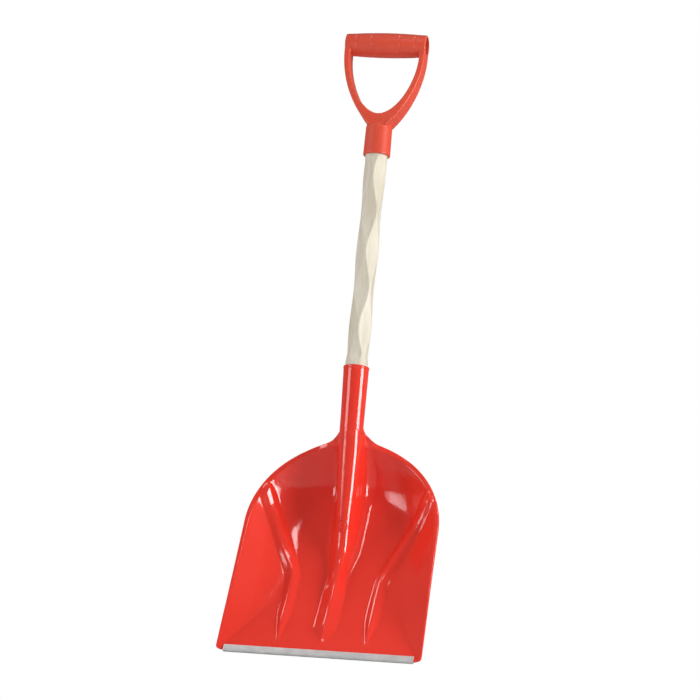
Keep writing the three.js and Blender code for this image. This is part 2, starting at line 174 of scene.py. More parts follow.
RIM_TILT = math.radians(20)
SIN_T, COS_T = math.sin(RIM_TILT), math.cos(RIM_TILT)
EDGE_Y = -87
EDGE_HALF_WIDTH = 165
CORNER_RADIUS = 7
SHEET = 3.2
SHEET_START_S = 6
SHEET_END_S = 445
RIM_ROUND = 1.2

# The upper rim is an arch that fillets into the neck.
ARCH_RADIUS = 160
ARCH_S = 238
NECK_R = 19.4
NECK_FILLET = 31
NECK_CENTRE_X = NECK_R + NECK_FILLET
NECK_CENTRE_S = ARCH_S + math.sqrt((ARCH_RADIUS + NECK_FILLET) ** 2 - NECK_CENTRE_X ** 2)
NECK_START_S = ARCH_S + (NECK_CENTRE_S - ARCH_S) * ARCH_RADIUS / (ARCH_RADIUS + NECK_FILLET)
NECK_CLIMB = 54
NECK_CLIMB_REACH = 34
NECK_CLIMB_POWER = 1.3

# The dish: a flat lip, wings that run in from it, and a floor.
DEPTH = 45
DEEPEST_S = 225
FLOOR_LEAN = RIM_TILT + math.atan(DEPTH * math.pi / 2 / DEEPEST_S)
LIP_LOW, LIP_HIGH = 1.5, 7.5
LIP_ROUND = 1.2
WING_SLOPE_LOW, WING_SLOPE_HIGH = 0.6, 1
OUTSIDE_SLOPE = 0.3
FLOOR_ROUND_LOW, FLOOR_ROUND_HIGH = 0.1, 30

# The side ribs: tents below the bend, flat-topped bars above it.
SIDE_RIB_X = 73
SIDE_RIB_SPLAY = 0.46
SIDE_RIB_BEND_S = 170
SIDE_RIB_BEND = 16
SIDE_RIB_END_S = 306
SIDE_RIB_HEIGHT = 7
SIDE_RIB_TIP_HALF = 1.5
SIDE_RIB_HALF_BASE = 12
SIDE_RIB_OUTER_FOOT = 3
SIDE_RIB_TENT_TOP = 0.6
SIDE_RIB_BAR_TOP = 4.6

# The middle rib: the socket tube's front carried down the dish, and its low wedge near the edge.
SOCKET_LEAN = 0.08
RIB_STRETCH = 1 / (COS_T - SOCKET_LEAN * SIN_T)
RIB_R = 13.5
RIB_S = 252
RIB_RECEDE = 0.113
RIB_FILLET = 20
NECK_RIB_FILLET = 10
RIB_LOW_R = 5
RIB_LOW_FILLET = 4
RIB_LOW_HALF = 20
RIB_LOW_HEIGHT = 9
RIB_WEDGE_HEIGHT = 15
RIB_TIP_S = 30
RIB_TIP_LENGTH = 34
RIB_CREST_BLEND = 13


def scoop_point(x, s, n):
    level = s * COS_T - (n + neck_climb(x, s)) * SIN_T
    return np.stack([x, EDGE_Y + s * SIN_T + n * COS_T, level], axis=-1)


def sharp_half_width(s):
    """Half the scoop's width at s, before the lower corners are rounded."""
    if s > NECK_CENTRE_S:
        return NECK_R
    if s > NECK_START_S:
        return NECK_CENTRE_X - math.sqrt(NECK_FILLET ** 2 - (NECK_CENTRE_S - s) ** 2)
    if s > ARCH_S:
        return math.sqrt(ARCH_RADIUS ** 2 - (s - ARCH_S) ** 2)
    return lerp(EDGE_HALF_WIDTH, ARCH_RADIUS, s / ARCH_S)


def half_width(s):
    over = max(0, SHEET_START_S + CORNER_RADIUS - s)
    return sharp_half_width(s) - CORNER_RADIUS + math.sqrt(max(0, CORNER_RADIUS ** 2 - over ** 2))


def inset(x, s):
    """Distance in from the side rim, or from the arch above its centre."""
    if s < ARCH_S:
        return sharp_half_width(s) - x
    return ARCH_RADIUS - np.hypot(x, s - ARCH_S)


def neck_climb(x, s):
    """How far the neck's flange comes forward of the rim plane to meet the side of the tube."""
    away = np.hypot(np.maximum(0, np.abs(x) - NECK_R), np.maximum(0, NECK_CENTRE_S - s))
    return NECK_CLIMB * np.exp(-((away / NECK_CLIMB_REACH) ** NECK_CLIMB_POWER))


def bowl_depth(x, s):
    """Depth of the dish behind the rim plane, without its ribs."""
    floor = DEPTH * math.sin(min(s / DEEPEST_S, 1) * math.pi / 2)
    from_rim = inset(x, s)
    lip = lerp(LIP_LOW, LIP_HIGH, smooth(s, 10, 260))
    slope = lerp(WING_SLOPE_LOW, WING_SLOPE_HIGH, smooth(s, 60, 330))
    inside = slope * soft_max(0, from_rim - lip, LIP_ROUND)
    wing = np.where(from_rim < 0, OUTSIDE_SLOPE * from_rim, inside)
    floor_round = lerp(FLOOR_ROUND_LOW, FLOOR_ROUND_HIGH, smooth(s, 17, 240))
    return soft_min(floor, wing, floor_round) - neck_climb(x, s)


def side_rib_height(x, s):
    past_bend = 0.5 * (s - SIDE_RIB_BEND_S)
    bent = past_bend + math.hypot(past_bend, SIDE_RIB_BEND / 2) - SIDE_RIB_BEND / 4
    line = SIDE_RIB_X + SIDE_RIB_SPLAY * bent
    bend_share = smooth(s, SIDE_RIB_BEND_S - SIDE_RIB_BEND, SIDE_RIB_BEND_S + SIDE_RIB_BEND)
    across = (x - line) / math.hypot(1, SIDE_RIB_SPLAY * bend_share)
    away = np.sqrt(np.hypot(across, max(0, s - SIDE_RIB_END_S)) ** 2 + 1)
    outer_foot = SIDE_RIB_OUTER_FOOT * smooth(across, -2, 2) * smooth(s, 150, 210)
    half_base = lerp(SIDE_RIB_TIP_HALF, SIDE_RIB_HALF_BASE, smooth(s, 20, 100)) + outer_foot
    half_top = lerp(SIDE_RIB_TENT_TOP, SIDE_RIB_BAR_TOP, smooth(s, 165, 205))
    height = SIDE_RIB_HEIGHT * smooth(s, 20, 80) * smooth(inset(x, s), 3, 16)
    rise = (half_base - away) / (half_base - half_top)
    return height * soft_min(1, soft_max(0, rise, 0.14), 0.24)


def middle_rib(s):
    """Crest round, foot fillet, crest depth, and the half width and height of the low wedge."""
    up_the_rib = (s - RIB_S) / (NECK_START_S - RIB_S)
    tube_r = NECK_R if s > NECK_START_S else lerp(RIB_R, NECK_R, up_the_rib)
    r = lerp(RIB_LOW_R, tube_r, smooth(s, 90, 175))
    upper_s = max(s, NECK_START_S)
    below_mouth = SOCKET_TOP_Z - upper_s * COS_T + float(neck_climb(0, upper_s)) * SIN_T
    recede = RIB_RECEDE * max(0, NECK_START_S - s)
    crest = (SOCKET_LEAN * below_mouth + recede - NECK_R - EDGE_Y - s * SIN_T) * RIB_STRETCH
    fillet = lerp(RIB_LOW_FILLET, RIB_FILLET, smooth(s, 130, 225))
    fillet -= (RIB_FILLET - NECK_RIB_FILLET) * smooth(s, 350, 400)
    low_half = RIB_LOW_HALF * clamp((s - RIB_TIP_S) / RIB_TIP_LENGTH, 0.02, 1) ** 0.6
    low_height = RIB_LOW_HEIGHT * smooth(s, 26, 70)
    low_height += (RIB_WEDGE_HEIGHT - RIB_LOW_HEIGHT) * smooth(s, 90, 160)
    return r, fillet, crest, low_half, low_height


def rib_profile(s):
    """The rib's half profile from its crest to its foot, as x and depth, and where the sheet ends."""
    r, fillet, crest, low_half, low_height = middle_rib(s)
    edge_x = half_width(s) - RIM_ROUND * smooth(NECK_CENTRE_S - s, 0, 12)
    room = max(0.0, edge_x - r)
    if room < fillet:
        angle = math.pi / 2
        turn = math.acos(1 - room / fillet)
        foot_depth = float(bowl_depth(np.array(edge_x), s))
        height = max((foot_depth - crest) / RIB_STRETCH, r + fillet * math.sin(turn))
        foot_depth = crest + height * RIB_STRETCH
        straight = height - r - fillet * math.sin(turn)
    else:
        half_base = max(0.6, lerp(low_half, r + fillet, smooth(s, 120, 225)))
        foot_depth = float(bowl_depth(np.array(half_base), s))
        free_height = (foot_depth - crest) / RIB_STRETCH
        height = max(0.05, float(soft_max(free_height, low_height, RIB_CREST_BLEND)))
        rounds = min(r + fillet, 0.45 * (half_base ** 2 + height ** 2) / height)
        r, fillet = rounds * r / (r + fillet), rounds * fillet / (r + fillet)
        reach = math.hypot(half_base, rounds - height)
        angle = math.atan2(half_base, rounds - height) - math.acos(min(1, rounds / reach))
        turn = angle
        straight = max(0.0, (height - rounds * (1 - math.cos(angle))) / math.sin(angle))
    along = np.linspace(0, 1, 160)
    crest_x, crest_d = r * np.sin(along * angle), r * (1 - np.cos(along * angle))
    flank_x = crest_x[-1] + straight * math.cos(angle) * along
    flank_d = crest_d[-1] + straight * math.sin(angle) * along
    a = angle - turn * along
    foot_x = flank_x[-1] + fillet * (math.sin(angle) - np.sin(a))
    foot_d = flank_d[-1] + fillet * (np.cos(a) - math.cos(angle))
    x = np.concatenate([crest_x, flank_x[1:], foot_x[1:]])
    drop = np.concatenate([crest_d, flank_d[1:], foot_d[1:]])
    return x, foot_depth + RIB_STRETCH * (drop - height), edge_x


def half_section(s, count):
    """Half a cross-section at s from the middle out, as count [x, n] points even along its length."""
    x, n, edge_x = rib_profile(s)
    if edge_x > x[-1] + 0.05:
        wing_x = np.linspace(x[-1], edge_x, 900)[1:]
        wing_n = bowl_depth(wing_x, s) - side_rib_height(wing_x, s)
        x, n = np.concatenate([x, wing_x]), np.concatenate([n, wing_n])
    length = np.concatenate([[0], np.cumsum(np.hypot(np.diff(x), np.diff(n)))])
    even = np.linspace(0, length[-1], count)
    return np.interp(even, length, x), np.interp(even, length, n)


def blurred(grid, passes):
    for _ in range(passes):
        padded = np.pad(grid, ((1, 1), (1, 1), (0, 0)), mode="reflect", reflect_type="odd")
        grid = (
            padded[1:-1, 1:-1] * 4 + padded[:-2, 1:-1] * 2 + padded[2:, 1:-1] * 2
            + padded[1:-1, :-2] * 2 + padded[1:-1, 2:] * 2
            + padded[:-2, :-2] + padded[:-2, 2:] + padded[2:, :-2] + padded[2:, 2:]
        ) / 16
    return grid


def normals(grid):
    normal = np.cross(np.gradient(grid, axis=1), np.gradient(grid, axis=0))
    return normal / np.linalg.norm(normal, axis=-1, keepdims=True)


def arc_between(front, back, outward, bulge, steps=6):
    """Points round a wall's free edge from its front face to its back face."""
    middle, half = (front + back) / 2, (front - back) / 2
    points = []
    for k in range(1, steps):
        a = math.pi * k / steps
        c = math.copysign(abs(math.cos(a)) ** 0.7, math.cos(a))
        points.append(middle + half * c + outward * bulge * math.sin(a) ** 0.7)
    return points


def sheet_end(base, columns, arcs):
    """Faces that close the sheet's lower end; base is the first point of its ring."""
    front = [base + j for j in range(columns)]
    back = [base + 2 * columns + arcs - 1 - j for j in range(columns)]
    faces = [(front[j], front[j + 1], back[j + 1], back[j]) for j in range(columns - 1)]
    right_rim = [base + columns - 1 + k for k in range(arcs + 2)]
    left_rim = [base + 2 * columns + arcs - 1 + k for k in range(arcs + 1)] + [base]
    return faces + [tuple(right_rim[::-1]), tuple(left_rim[::-1])]


def scoop_sheet():
    levels = np.concatenate([
        np.arange(SHEET_START_S, 28, 0.8), np.arange(28, 392, 1.6), np.arange(392, SHEET_END_S, 1.2),
    ])
    rows = []
    for s in levels:
        x, n = half_section(float(s), 150)
        right = scoop_point(x, np.full_like(x, s), n)
        left = right[:0:-1] * np.array([-1, 1, 1])
        rows.append(np.concatenate([left, right]))
    front = np.array(rows)
    back = blurred(front - normals(blurred(front, 3)) * SHEET, 2)
    right_out = unit(front[:, -1] - front[:, -3])
    left_out = unit(front[:, 0] - front[:, 2])
    right_arc = arc_between(front[:, -1], back[:, -1], right_out, RIM_ROUND)
    left_arc = arc_between(back[:, 0], front[:, 0], left_out, RIM_ROUND)
    rings = np.concatenate(
        [front, np.stack(right_arc, 1), back[:, ::-1], np.stack(left_arc, 1)], axis=1
    )
    columns, arcs, count = front.shape[1], len(right_arc), rings.shape[1]
    faces = ring_faces(len(rings), count, ends="open")
    faces += sheet_end(0, columns, arcs)
    faces += [face[::-1] for face in sheet_end((len(rings) - 1) * count, columns, arcs)]
    return mesh_object("scoop_sheet", rings.reshape(-1, 3), faces, 50)


# ---------------------------------------------------------------- scoop socket and raised rings

TUBE_START_Z = 394
TUBE_BEAD = 6                  # height of the bead round the mouth
TUBE_LOW_R, TUBE_HIGH_R = 19.1, 20.7
SOCKET_BORE_R = 18.9
SOCKET_FOOT_R = 12.8
RING_S = 247
RING_STEPS, WIRE_STEPS = 64, 12


def leaned(piece):
    """The socket and the wood inside it run back below the tube's mouth."""
    mouth = SOCKET_TOP_Z / 1000 + SHIFT.z
    for vertex in piece.data.vertices:
        vertex.co.y += SOCKET_LEAN * max(0, mouth - vertex.co.z)
    piece.data.update()
    return piece


def scoop_tube():
    foot = [(0.01, 346), (15.5, 346), (16, 348), (16.6, 352), (18.8, 388)]
    wall = [
        (lerp(TUBE_LOW_R, TUBE_HIGH_R, t), lerp(TUBE_START_Z, SOCKET_TOP_Z - TUBE_BEAD, t))
        for t in np.linspace(0, 1, 24)
    ]
    mouth = [(r, SOCKET_TOP_Z - down) for r, down in (
        (20.8, 4.8), (21.1, 3.8), (21.2, 2.4), (21.15, 0.8), (20.9, 0.1), (20.5, 0),
        (19.6, 0), (19.1, 0.6), (SOCKET_BORE_R, 1.4), (SOCKET_BORE_R, 12),
    )]
    bore = [(SOCKET_FOOT_R, SHAFT_END_Z), (SOCKET_FOOT_R, 350), (0.01, 350)]
    return leaned(turned("scoop_socket", foot + wall + mouth + bore, 144, smooth_angle=40))


def crest_ring(name, radius, wire):
    """A plain raised ring on the middle rib's crest."""
    points = []
    for turn in np.linspace(0, 2 * math.pi, RING_STEPS, endpoint=False):
        along, across = math.sin(turn), math.cos(turn)
        for roll in np.linspace(0, 2 * math.pi, WIRE_STEPS, endpoint=False):
            reach = radius + wire * math.cos(roll)
            s = RING_S + reach * along
            x, n, _ = rib_profile(s)
            depth = float(np.interp(abs(reach * across), x, n))
            points.append(scoop_point(reach * across, s, depth - wire * math.sin(roll)))
    return mesh_object(name, np.array(points), ring_faces(RING_STEPS, WIRE_STEPS, ends="joined"))


sheet = scoop_sheet()
tube = scoop_tube()
rings = [crest_ring("scoop_ring_outer", 8.2, 0.9), crest_ring("scoop_ring_inner", 4.0, 0.7)]
replace("scoop", sheet, tube, *rings)


# ---------------------------------------------------------------- folded metal edge

STRIP_HALF_LENGTH = 153
STRIP_HEIGHT = 11.5
STRIP_START = 4.2              # from the edge line up to the fold, along the dish's floor
STRIP_WALL = 1.3
STRIP_CLEARANCE = 0.4


def edge_strip():
    inner = SHEET / 2 + STRIP_CLEARANCE
    outer = inner + STRIP_WALL
    section = np.array(rounded([
        (-outer, 0, 1.6), (outer, 0, 1.6), (outer, STRIP_HEIGHT), (inner, STRIP_HEIGHT),
        (inner, STRIP_WALL, 0.6), (-inner, STRIP_WALL, 0.6), (-inner, STRIP_HEIGHT), (-outer, STRIP_HEIGHT),
    ], 0.5, 4))
    along = np.array([0, math.sin(FLOOR_LEAN), math.cos(FLOOR_LEAN)])
    square = np.array([0, math.cos(FLOOR_LEAN), -math.sin(FLOOR_LEAN)])
    rows = []
    for x in np.linspace(-STRIP_HALF_LENGTH, STRIP_HALF_LENGTH, 155):
        wave = 0.05 * math.sin(x * 0.11) + 0.03 * math.sin(x * 0.37 + 1)
        base = np.array([x, EDGE_Y, 0]) + along * STRIP_START
        across = section[:, :1] + SHEET / 2 + wave * (section[:, 1:] / STRIP_HEIGHT)
        rows.append(base + across * square + section[:, 1:] * along)
    return mesh_object("edge_channel", np.concatenate(rows), ring_faces(len(rows), len(section)), 40)


strip = edge_strip()
replace("edge_strip", strip)


# ---------------------------------------------------------------- wooden shaft

SCALLOP_ROWS = 8
SCALLOP_PITCH = 130
SCALLOP_Z = 555
SCALLOP_DEPTH = 4.2
SHAFT_TIP_R = 12.8
SHAFT_TAPER_TOP_Z = 480
SHAFT_TOP_Z = 899.6


def shaft_radius(angle, z):
    """The radii at z: round stock with eight rows of hewn flats, neighbours half a pitch apart."""
    below_collar = 1 - smooth(z, COLLAR_BOTTOM_Z - 12, COLLAR_BOTTOM_Z)
    fade = smooth(z, SOCKET_TOP_Z + 1, SOCKET_TOP_Z + 22) * below_collar
    radius = np.full_like(angle, SHAFT_R)
    for row in range(SCALLOP_ROWS):
        middle = SCALLOP_Z + (row % 2 == 0) * SCALLOP_PITCH / 2
        hollow = 0.5 + 0.5 * np.cos(2 * math.pi * (z - middle) / SCALLOP_PITCH)
        facing = np.cos(angle + math.pi / 2 - row * 2 * math.pi / SCALLOP_ROWS)
        flat = (SHAFT_R - SCALLOP_DEPTH * fade * hollow) / np.maximum(facing, 0.2)
        radius = np.where(facing > 0.2, np.minimum(radius, flat), radius)
    return radius


def shaft():
    segments = 192
    angle = np.arange(segments) * 2 * math.pi / segments
    levels = [
        (SHAFT_END_Z, SHAFT_TIP_R - 0.4), (SHAFT_END_Z + 0.5, SHAFT_TIP_R), (SHAFT_TAPER_TOP_Z, SHAFT_R),
        *((z, None) for z in np.linspace(SOCKET_TOP_Z - 1, 897, 300)),
        (898.5, SHAFT_R - 0.5), (SHAFT_TOP_Z, SHAFT_R - 1.6),
    ]
    rows = []
    for z, plain in levels:
        radius = np.full(segments, float(plain)) if plain else shaft_radius(angle, z)
        level = np.full(segments, float(z))
        rows.append(np.stack([radius * np.cos(angle), radius * np.sin(angle), level], 1))
    return leaned(mesh_object("shaft_wood", np.concatenate(rows), ring_faces(len(rows), segments), 60))


wood = shaft()
replace("shaft", wood)


# ---------------------------------------------------------------- D-grip

GRIP_HALF = 68.6
GAP_HALF = 59                  # half the hand gap's width
GAP_BOTTOM_Z = 918.5
STRAP_FOOT = (15, COLLAR_TOP_Z - 5)
STRAP_FOOT_HALF_DEPTH, STRAP_HALF_DEPTH = 21.5, 16
STRAP_TAPER = 81               # height over which the arms get thinner, above the collar
STRAP_EDGE_ROUND = 2.2
STRAP_HAUNCH = (34, 917)       # control points of the arms' outer and inner curves
STRAP_SHOULDER_Z = 965
GAP_HAUNCH_X = 31
GAP_SHOULDER_Z = 978
SADDLE_HALF_DEPTH = 20.9
SADDLE_BEVEL = 0.5
SADDLE_FACE_SCALE = 1 - 0.4 / 14
SADDLE_CENTRE = np.array([0, 908])
BAR_MIDDLE_R, BAR_END_R = 20.9, 18.8
BAR_BORE_R = 14.6
COLLAR_BORE_R = 18.9
BAR_LINES_X = (-50.5, -24.2, 24.2, 50.5)
BAR_LINE_DEPTH = 0.55
BAR_LINE_WIDTH = 0.75
BLEND_VOXEL = 0.0006


def bezier(p0, p1, p2, p3, steps):
    t = np.linspace(0, 1, steps)[:, None]
    p0, p1, p2, p3 = (np.array(p, float) for p in (p0, p1, p2, p3))
    return (1 - t) ** 3 * p0 + 3 * (1 - t) ** 2 * t * p1 + 3 * (1 - t) * t ** 2 * p2 + t ** 3 * p3


def resampled(line, count):
    length = np.concatenate([[0], np.cumsum(np.linalg.norm(np.diff(line, axis=0), axis=1))])
    even = np.linspace(0, length[-1], count)
    return np.stack([np.interp(even, length, line[:, k]) for k in range(line.shape[1])], 1)


def strap_half(side):
    """One arm of the D: a swept rounded bar from the collar's top up to the hand bar."""
    outer = np.concatenate([
        bezier(STRAP_FOOT, STRAP_HAUNCH, (GRIP_HALF, STRAP_SHOULDER_Z), (GRIP_HALF, BAR_Z - 15), 80),
        [(GRIP_HALF, BAR_Z - 4)],
    ])
    low, high = (GAP_HAUNCH_X, GAP_BOTTOM_Z), (GAP_HALF, GAP_SHOULDER_Z)
    inner = np.concatenate([
        bezier((-2, GAP_BOTTOM_Z), low, high, (GAP_HALF, BAR_Z - 20), 80),
        [(GAP_HALF, BAR_Z - 4)],
    ])
    rows = []
    for o, i in zip(resampled(outer, 90), resampled(inner, 90)):
        centre, half = (o + i) / 2, np.linalg.norm(o - i) / 2
        direction = (o - i) / (2 * half)
        above_collar = clamp((centre[1] - COLLAR_TOP_Z) / STRAP_TAPER, 0, 1)
        depth = lerp(STRAP_FOOT_HALF_DEPTH, STRAP_HALF_DEPTH, above_collar)
        corners = [(-half, -depth), (half, -depth), (half, depth), (-half, depth)]
        rows.append(np.array([
            (side * (centre[0] + direction[0] * u), v, centre[1] + direction[1] * u)
            for u, v in rounded(corners, STRAP_EDGE_ROUND, 5)
        ]))
    return mesh_object("strap", np.concatenate(rows), ring_faces(len(rows), len(rows[0])))


def saddle():
    """The web between the two arms where they meet above the collar."""
    foot_x, foot_z = STRAP_FOOT
    flank = bezier(STRAP_FOOT, (17, 903), (20, 906), (23, 909), 6)[1:]
    outline = np.concatenate([
        [(-foot_x, foot_z)], [STRAP_FOOT], flank,
        bezier((13, 920.1), (6, 918.3), (-6, 918.3), (-13, 920.1), 9),
        flank[::-1] * np.array([-1, 1]),
    ])
    rows = []
    for y, scale in (
        (-SADDLE_HALF_DEPTH, SADDLE_FACE_SCALE), (SADDLE_BEVEL - SADDLE_HALF_DEPTH, 1),
        (SADDLE_HALF_DEPTH - SADDLE_BEVEL, 1), (SADDLE_HALF_DEPTH, SADDLE_FACE_SCALE),
    ):
        line = SADDLE_CENTRE + (outline - SADDLE_CENTRE) * scale
        rows.append(np.stack([line[:, 0], np.full(len(line), float(y)), line[:, 1]], 1))
    return mesh_object("saddle", np.concatenate(rows), ring_faces(len(rows), len(outline)))


def raised(piece, z):
    piece.data.transform(Matrix.Translation((0, 0, z / 1000)))
    return piece


def hand_bar():
    end = [(0.01, GRIP_HALF), (17.4, GRIP_HALF), (18.6, GRIP_HALF - 1.2)]
    barrel = [(lerp(BAR_MIDDLE_R, BAR_END_R, k * k), k * GAP_HALF) for k in np.linspace(-1, 1, 41)]
    profile = [(r, -x) for r, x in end] + barrel + end[::-1]
    return raised(turned("bar", profile, 96, axis="X"), BAR_Z)


def joined(name, pieces):
    """All pieces' closed meshes in one object, still overlapping."""
    bm = bmesh.new()
    for piece in pieces:
        bm.from_mesh(piece.data)
        bpy.data.objects.remove(piece)
    mesh = bpy.data.meshes.new(name)
    bm.to_mesh(mesh)
    bm.free()
    return linked(name, mesh)


def apply_modifiers(piece):
    bpy.context.view_layer.update()
    evaluated = piece.evaluated_get(bpy.context.evaluated_depsgraph_get())
    mesh = bpy.data.meshes.new_from_object(evaluated)
    piece.modifiers.clear()
    piece.data = mesh


def cut(piece, *tools):
    for tool in tools:
        step = piece.modifiers.new("cut", "BOOLEAN")
        step.operation = "DIFFERENCE"
        step.solver = "EXACT"
        step.object = tool
        apply_modifiers(piece)
        bpy.data.objects.remove(tool)


def groove_bar(whole):
    """Four fine parting lines round the hand bar."""
    mesh = whole.data
    co = np.empty(len(mesh.vertices) * 3)
    mesh.vertices.foreach_get("co", co)
    local = (co.reshape(-1, 3) - np.array(SHIFT)) * 1000
    radial = np.stack([local[:, 1], local[:, 2] - BAR_Z], 1)
    distance = np.linalg.norm(radial, axis=1)
    near = (distance > 17.5) & (np.abs(local[:, 0]) < GAP_HALF)
    depth = sum(BAR_LINE_DEPTH * np.exp(-((local[:, 0] - x) / BAR_LINE_WIDTH) ** 2) for x in BAR_LINES_X)
    scale = np.where(near, 1 - depth / np.maximum(distance, 1), 1)
    local[:, 1] *= scale
    local[:, 2] = BAR_Z + radial[:, 1] * scale
    mesh.vertices.foreach_set("co", to_world(local).ravel())
    mesh.update()


def grip():
    """Collar, arms, web and bar blended into one moulding, then bored."""
    collar = turned("collar", [
        (0.01, COLLAR_BOTTOM_Z), (22, COLLAR_BOTTOM_Z), (22.6, 850.8), (22.6, 853.5), (22.45, 856),
        (21.9, 898), (21, 902), (18.5, 906), (14, 908.5), (0.01, 909),
    ], 96)
    whole = joined("grip_moulding", [collar, hand_bar(), strap_half(1), strap_half(-1), saddle()])
    remesh = whole.modifiers.new("skin", "REMESH")
    remesh.mode = "VOXEL"
    remesh.voxel_size = BLEND_VOXEL
    remesh.use_smooth_shade = True
    relax = whole.modifiers.new("relax", "SMOOTH")
    relax.factor = 0.5
    relax.iterations = 14
    apply_modifiers(whole)
    groove_bar(whole)
    bore = turned("bore", [(0.01, -80), (BAR_BORE_R, -80), (BAR_BORE_R, 80), (0.01, 80)], 96, axis="X")
    socket_top_z = COLLAR_TOP_Z - 2
    socket = turned("socket", [
        (0.01, 840), (COLLAR_BORE_R, 840), (COLLAR_BORE_R, socket_top_z), (0.01, socket_top_z),
    ], 96)
    cut(whole, raised(bore, BAR_Z), socket)
    finish_mesh(whole, 50)
    return whole


handle = grip()
replace("grip", handle)


# ---------------------------------------------------------------- screws

SCREW_LENGTH = 22
HEAD_R = 3.8
HEAD_HEIGHT = 2.3
SHANK_R, THREAD_ROOT_R = 1.9, 1.45
THREAD_PITCH = 1.4
THREADS = 12
RECESS_LONG, RECESS_WIDE, RECESS_DEPTH = 3.9, 0.8, 2.4


def recess_arm(wide, tall, y, z):
    """One bar of the cross-shaped recess, with its centre at y and z in metres."""
    bm = bmesh.new()
    bmesh.ops.create_cube(bm, size=1)
    bmesh.ops.scale(bm, vec=(wide / 1000, RECESS_DEPTH / 1000, tall / 1000), verts=bm.verts)
    bmesh.ops.translate(bm, vec=(0, y, z), verts=bm.verts)
    mesh = bpy.data.meshes.new("recess")
    bm.to_mesh(mesh)
    bm.free()
    return linked("recess", mesh)


def screw(name, node):
    """A round-head screw along y; 0 in its profile is the underside of the head."""
    low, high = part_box(node)
    middle_z = (low[2] + high[2]) / 2
    profile = [(0.01, -SCREW_LENGTH), (1.1, 1.5 - SCREW_LENGTH), (SHANK_R, 3 - SCREW_LENGTH)]
    for k in range(THREADS):
        start = 3.6 - SCREW_LENGTH + k * THREAD_PITCH
        profile += [(SHANK_R, start), (THREAD_ROOT_R, start + THREAD_PITCH / 2)]
    profile += [(SHANK_R, -1.2), (3.6, 0), (HEAD_R, 0.3)]
    profile += [
        (HEAD_R * math.cos(a), 0.3 + 2.0 * math.sin(a)) for a in np.radians([8, 20, 35, 50, 65, 78])
    ]
    profile += [(0.01, HEAD_HEIGHT)]
    head_y = (high[1] - SHIFT.y) * 1000 - HEAD_HEIGHT
    body = turned(name, [(r, y + head_y) for r, y in profile], 48, axis="Y")
    raised(body, (middle_z - SHIFT.z) * 1000)
    cut(
        body,
        recess_arm(RECESS_LONG, RECESS_WIDE, high[1], middle_z),
        recess_arm(RECESS_WIDE, RECESS_LONG, high[1], middle_z),
    )
    finish_mesh(body, 35)
    replace(node, body)
    return body


screws = [screw("socket_screw_steel", "socket_screw"), screw("collar_screw_steel", "collar_screw")]


# ---------------------------------------------------------------- materials

def new_material(name):
    made = bpy.data.materials.new(name)
    made.use_nodes = True
    made.node_tree.nodes.clear()
    return made, made.node_tree.nodes, made.node_tree.links


def surface(nodes, links, **values):
    shader = nodes.new("ShaderNodeBsdfPrincipled")
    out = nodes.new("ShaderNodeOutputMaterial")
    links.new(shader.outputs["BSDF"], out.inputs["Surface"])
    for name, value in values.items():
        shader.inputs[name].default_value = value
    return shader


def place(nodes, links, scale=(1, 1, 1)):
    coord = nodes.new("ShaderNodeTexCoord")
    mapping = nodes.new("ShaderNodeMapping")
    mapping.inputs["Scale"].default_value = scale
    links.new(coord.outputs["Object"], mapping.inputs["Vector"])
    return mapping.outputs["Vector"]


def noise(nodes, links, vector, scale, detail=3, rough=0.5, distortion=0):
    tex = nodes.new("ShaderNodeTexNoise")
    tex.inputs["Scale"].default_value = scale
    tex.inputs["Detail"].default_value = detail
    tex.inputs["Roughness"].default_value = rough
    tex.inputs["Distortion"].default_value = distortion
    links.new(vector, tex.inputs["Vector"])
    return tex.outputs["Fac"]


def ramp(nodes, links, factor, stops):
    node = nodes.new("ShaderNodeValToRGB")
    elements = node.color_ramp.elements
    while len(elements) < len(stops):
        elements.new(0.5)
    for element, (position, colour) in zip(elements, stops):
        element.position = position
        element.color = (*colour, 1)
    links.new(factor, node.inputs["Fac"])
    return node.outputs["Color"]


def spread(nodes, links, factor, low, high, from_low=0.3, from_high=0.7):
    node = nodes.new("ShaderNodeMapRange")
    node.inputs["From Min"].default_value = from_low
    node.inputs["From Max"].default_value = from_high
    node.inputs["To Min"].default_value = low
    node.inputs["To Max"].default_value = high
    links.new(factor, node.inputs["Value"])
    return node.outputs["Result"]


def combine(nodes, links, operation, a, b):
    node = nodes.new("ShaderNodeMath")
    node.operation = operation
    for socket, value in zip(node.inputs, (a, b)):
        if isinstance(value, (int, float)):
            socket.default_value = value
        else:
            links.new(value, socket)
    return node.outputs[0]


def bump(nodes, links, height, distance, strength, under=None):
    node = nodes.new("ShaderNodeBump")
    node.inputs["Distance"].default_value = distance
    node.inputs["Strength"].default_value = strength
    links.new(height, node.inputs["Height"])
    if under is not None:
        links.new(under, node.inputs["Normal"])
    return node.outputs["Normal"]


def plastic(name, colour, deep, roughness, grain, gloss):
    """Moulded plastic: clouded colour, faint lengthwise scratches, fine grain and a slight orange peel."""
    made, nodes, links = new_material(name)
    shader = surface(nodes, links, IOR=1.5)
    vector = place(nodes, links)
    cloud = noise(nodes, links, vector, 9, 4)
    links.new(ramp(nodes, links, cloud, [(0.3, deep), (0.7, colour)]), shader.inputs["Base Color"])
    streak = noise(nodes, links, place(nodes, links, (1.6, 1, 0.06)), 900, 2, 0.7)
    fine = noise(nodes, links, vector, 2600, 2)
    scratches = spread(nodes, links, streak, 0, 0.10, 0.62, 0.76)
    patches = noise(nodes, links, vector, 22, 5, 0.6)
    smudges = spread(nodes, links, patches, roughness - 0.03, roughness + 0.05)
    links.new(combine(nodes, links, "ADD", smudges, scratches), shader.inputs["Roughness"])
    peel = bump(nodes, links, noise(nodes, links, vector, 120, 2), gloss, 0.35)
    links.new(bump(nodes, links, fine, grain, 0.5, peel), shader.inputs["Normal"])
    return made


